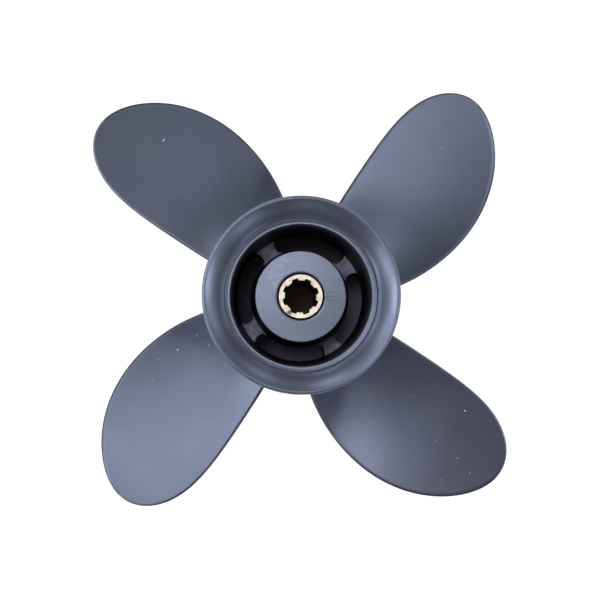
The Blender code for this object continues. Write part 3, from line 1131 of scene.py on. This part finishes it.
    def mesh_data(self) -> tuple[np.ndarray, list[Face], np.ndarray]:
        """Work out the mesh of the first blade.

        Returns:
            Its points, its faces, and each point's nearness to the leading edge and to the trailing
            one, from 0 inside the bands along them to 1 at the edge.
        """
        radius, angle, signed = self.fan()
        aft, front = self.offsets(radius, angle, signed)
        across = 2 * self.columns + 1
        sheet = (self.rows + 1) * across
        number = np.arange(sheet).reshape(self.rows + 1, across)
        number[-1, : self.columns] = number[-1, : self.columns : -1]
        points = [self.lift(radius, angle, offset).reshape(-1, 3) for offset in (aft, front)]
        low = number + sheet
        quads = [
            np.stack([number[:-1, :-1], number[1:, :-1], number[1:, 1:], number[:-1, 1:]], -1),
            np.stack([low[:-1, :-1], low[:-1, 1:], low[1:, 1:], low[1:, :-1]], -1),
            np.stack([number[:-1, 0], low[:-1, 0], low[1:, 0], number[1:, 0]], -1),
            np.stack([number[:-1, -1], number[1:, -1], low[1:, -1], low[:-1, -1]], -1),
        ]
        loop = np.concatenate([number[0], low[0, ::-1]])
        both = np.concatenate([aft[0], front[0, ::-1]])
        rings = self.fillet_rings(radius[0, 0], np.concatenate([angle[0], angle[0, ::-1]]), both)
        start = 2 * sheet
        for ring in rings:
            points.append(ring)
            ahead = start + np.arange(len(ring))
            quads.append(np.stack([loop, np.roll(loop, -1), np.roll(ahead, -1), ahead], -1))
            loop, start = ahead, start + len(ring)
        near, far = loop[:across], loop[: across - 1 : -1]
        quads.append(np.stack([near[:-1], near[1:], far[1:], far[:-1]], -1))
        corners = np.concatenate([block.reshape(-1, 4) for block in quads])
        used, corners = np.unique(corners, return_inverse=True)
        faces = [tuple(quad) for quad in corners.reshape(-1, 4).tolist()]
        away = self.edge_distance(radius, angle)
        leading = np.where(signed < 0, np.clip(1 - away / self.leading_band, 0.0, 1.0), 0.0)
        trailing = np.where(signed > 0, np.clip(1 - away / self.trailing_band, 0.0, 1.0), 0.0)
        near_edge = np.stack([leading.ravel(), trailing.ravel()], 1)
        near_edge = np.concatenate([near_edge, near_edge, np.zeros((sum(map(len, rings)), 2))])
        return np.vstack(points)[used], faces, near_edge[used]

    def build(self, enamel: Material) -> None:
        """Make the four blades.

        Args:
            enamel: Their finish.
        """
        points, faces, near_edge = self.mesh_data()
        for number in range(self.count):
            turn = TURN * number / self.count
            blade = mesh_object(f"blade_{number + 1}_casting", spun(points, turn), faces)
            # painted shade along the edges, stronger on the blades whose trailing edges lie in shade
            grime_and_edge_shade = near_edge @ np.array([self.leading_edge_shade, self.trailing_edge_shade[number]])
            edge = blade.data.attributes.new(EDGE_SHARE, "FLOAT", "POINT")
            edge.data.foreach_set("value", np.clip(grime_and_edge_shade, 0.0, 1.0))
            place(blade, Slot.CASTING, [f"blade_{number + 1}"], enamel)


@dataclass
class RubberBush:
    """Rubber between the inner hub and the sleeve, with a moulded groove round its front end.

    The roundings go from the bore's aft end outwards, down the outside and over the groove.
    """

    outer_radius: float = 16.2 * MM
    inner_radius: float = 9.75 * MM
    front_z: float = 10.8 * MM
    aft_z: float = 59.7 * MM
    groove_radius: float = 13.0 * MM
    groove_width: float = 2.0 * MM
    groove_depth: float = 1.2 * MM
    groove_taper: float = 0.3 * MM
    roundings: tuple[float, ...] = mm(0.3, 0.8, 0.8, 0.4, 0.4, 0.4, 0.4, 0.3)

    def profile(self) -> list[Point]:
        """Draw the profile of the bush.

        Returns:
            The points of the closed profile.
        """
        near = self.groove_radius - self.groove_width / 2
        far = self.groove_radius + self.groove_width / 2
        floor_z = self.front_z + self.groove_depth
        corners = [
            (self.inner_radius, self.aft_z),
            (self.outer_radius, self.aft_z),
            (self.outer_radius, self.front_z),
            (far, self.front_z),
            (far - self.groove_taper, floor_z),
            (near + self.groove_taper, floor_z),
            (near, self.front_z),
            (self.inner_radius, self.front_z),
        ]
        return rounded(corners, self.roundings)

    def build(self, rubber: Material) -> None:
        """Make the bush."""
        bush = turned("rubber_bush_moulding", self.profile())
        place(bush, Slot.RUBBER, ["rubber_bush"], rubber)


@dataclass
class SplineSleeve:
    """Brass sleeve with eight straight-sided grooves, chamfered at both ends.

    The shares give the points on half of a groove's floor and on half of the land beside it.
    """

    outer_radius: float = 9.5 * MM
    front_z: float = 7.0 * MM
    aft_z: float = 64.5 * MM
    teeth: int = 8
    major_radius: float = 7.9 * MM
    minor_radius: float = 6.8 * MM
    groove: float = 2.9 * MM
    phase: float = math.radians(30.3)
    chamfer: float = 0.3 * MM
    rim_chamfer: float = 0.1 * MM
    corner: float = 0.25 * MM
    corner_arc: Span = (10.0, 90.0)
    corner_steps: int = 5
    floor_shares: tuple[float, ...] = (0.0, 0.3, 0.6)
    land_shares: tuple[float, ...] = (0.0, 0.15, 0.45, 1.0)

    def groove_side(self) -> list[Point]:
        """Draw half of one groove, from the middle of its floor to the middle of the next land.

        Returns:
            The radius and the angle of each point.
        """
        half = self.groove / 2
        points = [(self.major_radius, half * share / self.major_radius) for share in self.floor_shares]
        centre_r = math.sqrt((self.major_radius - self.corner) ** 2 - (half - self.corner) ** 2)
        centre = (centre_r, half - self.corner)
        for x, y in arc(centre, self.corner, *self.corner_arc, self.corner_steps):
            points.append((math.hypot(x, y), math.atan2(y, x)))
        lead = self.minor_radius + self.chamfer
        points.append((lead, math.asin(half / lead)))
        edge_angle = math.asin(half / self.minor_radius)
        last = TURN / self.teeth / 2
        for share in self.land_shares:
            points.append((self.minor_radius, edge_angle + (last - edge_angle) * share))
        return points

    def outline(self) -> np.ndarray:
        """Draw the outline of the splined bore.

        Returns:
            The radius and the angle of each point, anticlockwise.
        """
        side = self.groove_side()
        whole = [(r, -a) for r, a in side[:0:-1]] + side[:-1]
        points = []
        for tooth in range(self.teeth):
            centre = self.phase + TURN * tooth / self.teeth
            points.extend((r, centre + a) for r, a in whole)
        return np.array(points)

    def build(self, brass: Material, bore_brass: Material) -> None:
        """Make the sleeve.

        Args:
            brass: Finish of its outside and its ends.
            bore_brass: Finish of its bore and of the chamfer round its aft end.
        """
        bore, angle = self.outline().T
        lead = np.maximum(bore, self.minor_radius + self.chamfer)
        outer = np.full(len(bore), self.outer_radius)
        rim = outer - self.rim_chamfer
        rings = [
            (bore, self.aft_z - self.chamfer),
            (lead, self.aft_z),
            (rim, self.aft_z),
            (outer, self.aft_z - self.rim_chamfer),
            (outer, self.front_z + self.rim_chamfer),
            (rim, self.front_z),
            (lead, self.front_z),
            (bore, self.front_z + self.chamfer),
        ]
        points = [
            np.stack([r * np.cos(angle), r * np.sin(angle), np.full(len(r), z)], 1) for r, z in rings
        ]
        faces = flipped(ring_faces(len(rings), len(bore), closed=True))
        sleeve = mesh_object("spline_sleeve_brass", np.vstack(points), faces)
        aft_chamfer, bore_wall = 2, len(rings) - 1
        for face in sleeve.data.polygons:
            face.material_index = int(face.index // len(bore) in (aft_chamfer, bore_wall))
        place(sleeve, Slot.BRASS, ["spline_sleeve"], brass, bore_brass)


@dataclass(frozen=True)
class Fleck:
    """One small mark on a blade, its angles in degrees and its place given on the first blade."""

    blade: int
    radius: float
    angle: float
    length: float
    width: float
    turn: float = 0.0


@dataclass
class DustMarks:
    """Flecks of dust and short scratches on the blades and on the hub's face, as thin closed chips.

    A fleck on the hub's face is given by its X, its Y and its radius. A scratch program worked out the
    places of the flecks from pixels picked in the photograph.
    """

    sides: int = 10
    lift: float = 0.02 * MM
    sink: float = 0.10 * MM
    ragged: Span = (0.75, 1.1)
    seed: int = 7
    on_blades: tuple[Fleck, ...] = (
        Fleck(2, 92.9 * MM, 51.5, 1.9 * MM, 0.50 * MM, 105.0),
        Fleck(3, 58.8 * MM, 33.5, 0.9 * MM, 0.80 * MM),
        Fleck(4, 87.8 * MM, 66.7, 0.9 * MM, 0.70 * MM, 45.0),
        Fleck(3, 48.6 * MM, 30.0, 2.2 * MM, 0.22 * MM, 56.0),
        Fleck(3, 45.2 * MM, 37.5, 2.2 * MM, 0.22 * MM, 93.0),
        Fleck(3, 68.3 * MM, 34.1, 0.7 * MM, 0.30 * MM, 80.0),
        Fleck(3, 74.6 * MM, 40.0, 0.5 * MM, 0.25 * MM, 80.0),
        Fleck(4, 99.2 * MM, 55.7, 0.6 * MM, 0.40 * MM, 80.0),
        Fleck(4, 87.2 * MM, 54.7, 0.5 * MM, 0.35 * MM),
        Fleck(4, 107.8 * MM, 55.3, 0.8 * MM, 0.40 * MM, 80.0),
        Fleck(4, 102.0 * MM, 49.1, 0.5 * MM, 0.30 * MM),
        Fleck(4, 65.1 * MM, 59.5, 0.5 * MM, 0.30 * MM),
        Fleck(1, 92.2 * MM, 57.8, 0.5 * MM, 0.35 * MM),
        Fleck(1, 77.9 * MM, 37.5, 0.5 * MM, 0.25 * MM),
    )
    on_face: tuple[Spot, ...] = (mm(-5.7, -10.6, 0.20), mm(-0.5, -12.6, 0.16), mm(1.8, -11.2, 0.12))

    def outline(self, length: float, width: float, chance: np.random.Generator) -> np.ndarray:
        """Draw a ragged outline round the origin.

        Args:
            length: Its length along X.
            width: Its width along Y.
            chance: The random draws.

        Returns:
            Its points, anticlockwise.
        """
        turns = np.arange(self.sides) * TURN / self.sides
        reach = chance.uniform(*self.ragged, self.sides)[:, None] / 2
        return np.stack([np.cos(turns) * length, np.sin(turns) * width], 1) * reach

    def blade_ring(self, fleck: Fleck, blades: Blades, flat: np.ndarray, offset: float) -> np.ndarray:
        """Lay an outline on the aft face of a blade.

        Args:
            fleck: The mark, with its place and its turn.
            blades: The blades.
            flat: The mark's outline round the origin.
            offset: Distance of the ring above the face.

        Returns:
            The ring's points in space.
        """
        turn = math.radians(fleck.turn)
        along = flat[:, 0] * math.cos(turn) - flat[:, 1] * math.sin(turn)
        across = flat[:, 0] * math.sin(turn) + flat[:, 1] * math.cos(turn)
        angles = math.radians(fleck.angle) + across / math.hypot(fleck.radius, blades.rise)
        ring = blades.lift(fleck.radius + along, angles, np.full(self.sides, offset))
        return spun(ring, TURN * (fleck.blade - 1) / blades.count)

    def build(self, blades: Blades, face_z: float, dust: Material) -> None:
        """Lay the flecks on the blades' aft faces and on the hub's face.

        Args:
            blades: The blades.
            face_z: Height of the hub's face.
            dust: Finish of the flecks.
        """
        chance = np.random.default_rng(self.seed)
        points, faces = [], []
        for fleck in self.on_blades:
            flat = self.outline(fleck.length, fleck.width, chance)
            faces += chip_faces(len(points), self.sides)
            for offset in (self.lift, -self.sink):
                points.extend(self.blade_ring(fleck, blades, flat, offset))
        for x, y, size in self.on_face:
            flat = self.outline(2 * size, 2 * size, chance) + [x, y]
            faces += chip_faces(len(points), self.sides)
            for height in (face_z + self.lift, face_z - self.sink):
                points.extend(np.column_stack([flat, np.full(self.sides, height)]))
        flecks = mesh_object("dust_flecks", np.array(points), faces)
        place(flecks, Slot.CASTING, [], dust)


@dataclass
class SleeveMarks:
    """A grey smear across the sleeve's end and a small dark speck of painted shade for a pit."""

    lift: float = 0.01 * MM
    sink: float = 0.05 * MM
    smear: tuple[Point, ...] = (
        mm(-3.8, -6.7),
        mm(-4.6, -7.6),
        mm(-4.45, -8.2),
        mm(-3.6, -8.6),
        mm(-2.5, -8.4),
        mm(-2.45, -7.65),
        mm(-3.2, -7.35),
        mm(-3.4, -6.85),
    )
    speck: Point = mm(-5.9, 5.7)
    speck_radius: float = 0.33 * MM
    speck_sides: int = 8

    def chip(self, name: str, outline: list[Point], face_z: float, finish: Material) -> None:
        """Make one mark.

        Args:
            name: Name of the piece.
            outline: Its outline in x and y, anticlockwise.
            face_z: Height of the sleeve's end.
            finish: Its material.
        """
        heights = (face_z + self.lift, face_z - self.sink)
        points = [(x, y, height) for height in heights for x, y in outline]
        chip = mesh_object(name, np.array(points), chip_faces(0, len(outline)))
        place(chip, Slot.BRASS, [], finish)

    def build(self, face_z: float, grime_and_edge_shade: Material, shadow: Material) -> None:
        """Lay both marks on the end of the sleeve.

        Args:
            face_z: Height of the sleeve's end.
            grime_and_edge_shade: Finish of the smear.
            shadow: Finish of the speck.
        """
        self.chip("sleeve_smear", list(self.smear), face_z, grime_and_edge_shade)
        # the speck is painted shade for a small pit
        step = 360.0 / self.speck_sides
        ring = arc(self.speck, self.speck_radius, 0.0, 360.0 - step, self.speck_sides - 1)
        self.chip("sleeve_speck", ring, face_z, shadow)


@dataclass(frozen=True)
class Softbox:
    """A round area light that faces the propeller, its angles in degrees round the target."""

    name: str
    azimuth: float
    elevation: float
    power: float
    size: float = 0.5
    distance: float = 2.0
    tint: Colour = (1.0, 1.0, 1.0)

    def build(self, target: Vector) -> None:
        """Hang the light.

        Args:
            target: The point that it faces.
        """
        around, up = math.radians(self.azimuth), math.radians(self.elevation)
        away = Vector((math.cos(around) * math.cos(up), math.sin(around) * math.cos(up), math.sin(up)))
        lamp = bpy.data.lights.new(self.name, "AREA")
        lamp.shape = "DISK"
        lamp.size = self.size
        lamp.energy = self.power
        lamp.color = self.tint
        obj = bpy.data.objects.new(self.name, lamp)
        obj.location = target + away * self.distance
        obj.rotation_mode = "QUATERNION"
        obj.rotation_quaternion = away.to_track_quat("Z", "Y")
        obj.visible_camera = False
        bpy.context.scene.collection.objects.link(obj)


@dataclass
class Studio:
    """Camera at the photograph's angle, pale floor, soft lights and pale surroundings.

    Scratch programs fitted the camera and the lights to the photograph. The camera's values, the
    lights' powers and most of the lights' directions are the fits' results, rounded.
    """

    target: Vector = Vector((0.0, 0.0, 36.5 * MM))
    camera_distance: float = 900.0 * MM
    camera_aside: Point = mm(0.289, -0.480)
    lean: tuple[float, float] = (0.0211, 0.0387)
    roll: float = math.radians(11.0)
    lens: float = 121.6
    sensor_width: float = 36.0
    floor_half: float = 4.0
    floor_z: float = -0.02 * MM
    wall_glow: float = 0.96
    ceiling_glow: float = 0.03
    wall_top: Span = (0.09, 0.20)
    softboxes: tuple[Softbox, ...] = (
        Softbox("left_key", 187.0, 29.0, 12.0, tint=(1.0, 0.985, 1.0)),
        Softbox("overhead", 140.0, 80.0, 10.3, tint=(1.0, 0.96, 0.94)),
        Softbox("right_key", 7.0, 29.0, 9.0, tint=(1.0, 1.01, 0.99)),
        Softbox("upper_left", 157.0, 49.0, 7.2, 1.0),
        Softbox("left_low", 209.0, 17.0, 6.1),
        Softbox("left_high", 219.0, 46.0, 4.9, 0.35, tint=(1.0, 0.95, 0.97)),
        Softbox("top_low", 119.0, 17.0, 4.8),
        Softbox("upper_left_low", 164.0, 17.0, 4.6),
        Softbox("top_graze", 74.0, 5.0, 3.6),
        Softbox("right_high", 7.0, 53.0, 3.2),
        Softbox("bottom_right", 322.0, 17.0, 3.0, tint=(0.97, 1.01, 1.02)),
        Softbox("right_low", 29.0, 17.0, 2.7),
        Softbox("right_lower", 341.0, 41.0, 2.8),
        Softbox("top_left", 142.0, 29.0, 2.5),
        Softbox("upper_right", 58.0, 41.0, 1.6),
        Softbox("top_high", 84.0, 41.0, 1.6),
        Softbox("bottom_low", 277.0, 22.0, 1.2),
        Softbox("lower_left", 248.0, 48.0, 0.6),
    )

    def build_camera(self) -> None:
        """Put the camera where the photograph was taken from."""
        leaning = Vector((0.0, 0.0, 1.0)).rotation_difference(Vector((*self.lean, 1.0)).normalized())
        facing = Quaternion((0.0, 0.0, 1.0), self.roll) @ leaning.inverted()
        offset = Vector((*self.camera_aside, self.camera_distance))
        data = bpy.data.cameras.new("photo_camera")
        data.lens = self.lens
        data.sensor_width = self.sensor_width
        camera = bpy.data.objects.new("photo_camera", data)
        camera.rotation_mode = "QUATERNION"
        camera.rotation_quaternion = facing
        camera.location = self.target + facing @ offset
        bpy.context.scene.collection.objects.link(camera)
        bpy.context.scene.camera = camera

    def build_floor(self) -> None:
        """Lay the floor just under the front rim of the hub."""
        signs = ((-1, -1), (1, -1), (1, 1), (-1, 1))
        points = np.array([(x * self.floor_half, y * self.floor_half, self.floor_z) for x, y in signs])
        floor = mesh_object("floor", points, [(0, 1, 2, 3)])
        floor.data.materials.append(FloorPaint().build())

    def build_world(self) -> None:
        """Put low white walls round the studio, under a dim ceiling."""
        world = bpy.data.worlds.new("studio_surroundings")
        world.use_nodes = True
        nodes, links = world.node_tree.nodes, world.node_tree.links
        away = nodes.new("ShaderNodeTexCoord")
        split = nodes.new("ShaderNodeSeparateXYZ")
        fade = nodes.new("ShaderNodeMapRange")
        fade.interpolation_type = "SMOOTHSTEP"
        limits = (*self.wall_top, self.wall_glow, self.ceiling_glow)
        for name, value in zip(("From Min", "From Max", "To Min", "To Max"), limits):
            fade.inputs[name].default_value = value
        links.new(away.outputs["Generated"], split.inputs[0])
        links.new(split.outputs["Z"], fade.inputs["Value"])
        links.new(fade.outputs[0], nodes["Background"].inputs["Strength"])
        nodes["Background"].inputs["Color"].default_value = (1.0, 1.0, 1.0, 1.0)
        bpy.context.scene.world = world

    def build(self) -> None:
        """Make the whole studio."""
        self.build_camera()
        self.build_floor()
        self.build_world()
        for softbox in self.softboxes:
            softbox.build(self.target)
        bpy.context.scene.view_settings.view_transform = "Standard"
        log.info("studio: %d softboxes", len(self.softboxes))


def main() -> None:
    """Build every piece of the propeller and its studio."""
    logging.basicConfig(level=logging.INFO, format="%(message)s")
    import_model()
    Studio().build()
    enamel = Enamel().build()
    passage = PassagePaint().build()
    shell, blades, inner_hub, sleeve = HubShell(), Blades(), InnerHub(), SplineSleeve()
    shell.build(enamel, passage)
    blades.build(enamel)
    Ribs().build(passage)
    inner_hub.build(FaceEnamel().build(), passage)
    RubberBush().build(BushRubber().build())
    sleeve.build(SleeveBrass().build(), BoreBrass().build())
    DustMarks().build(blades, inner_hub.aft_z, Mark.PALE_DUST.finish())
    SleeveMarks().build(sleeve.aft_z, Mark.GREY_SMEAR.finish(), Mark.DARK_SPECK.finish())


if __name__ == "__main__":
    main()
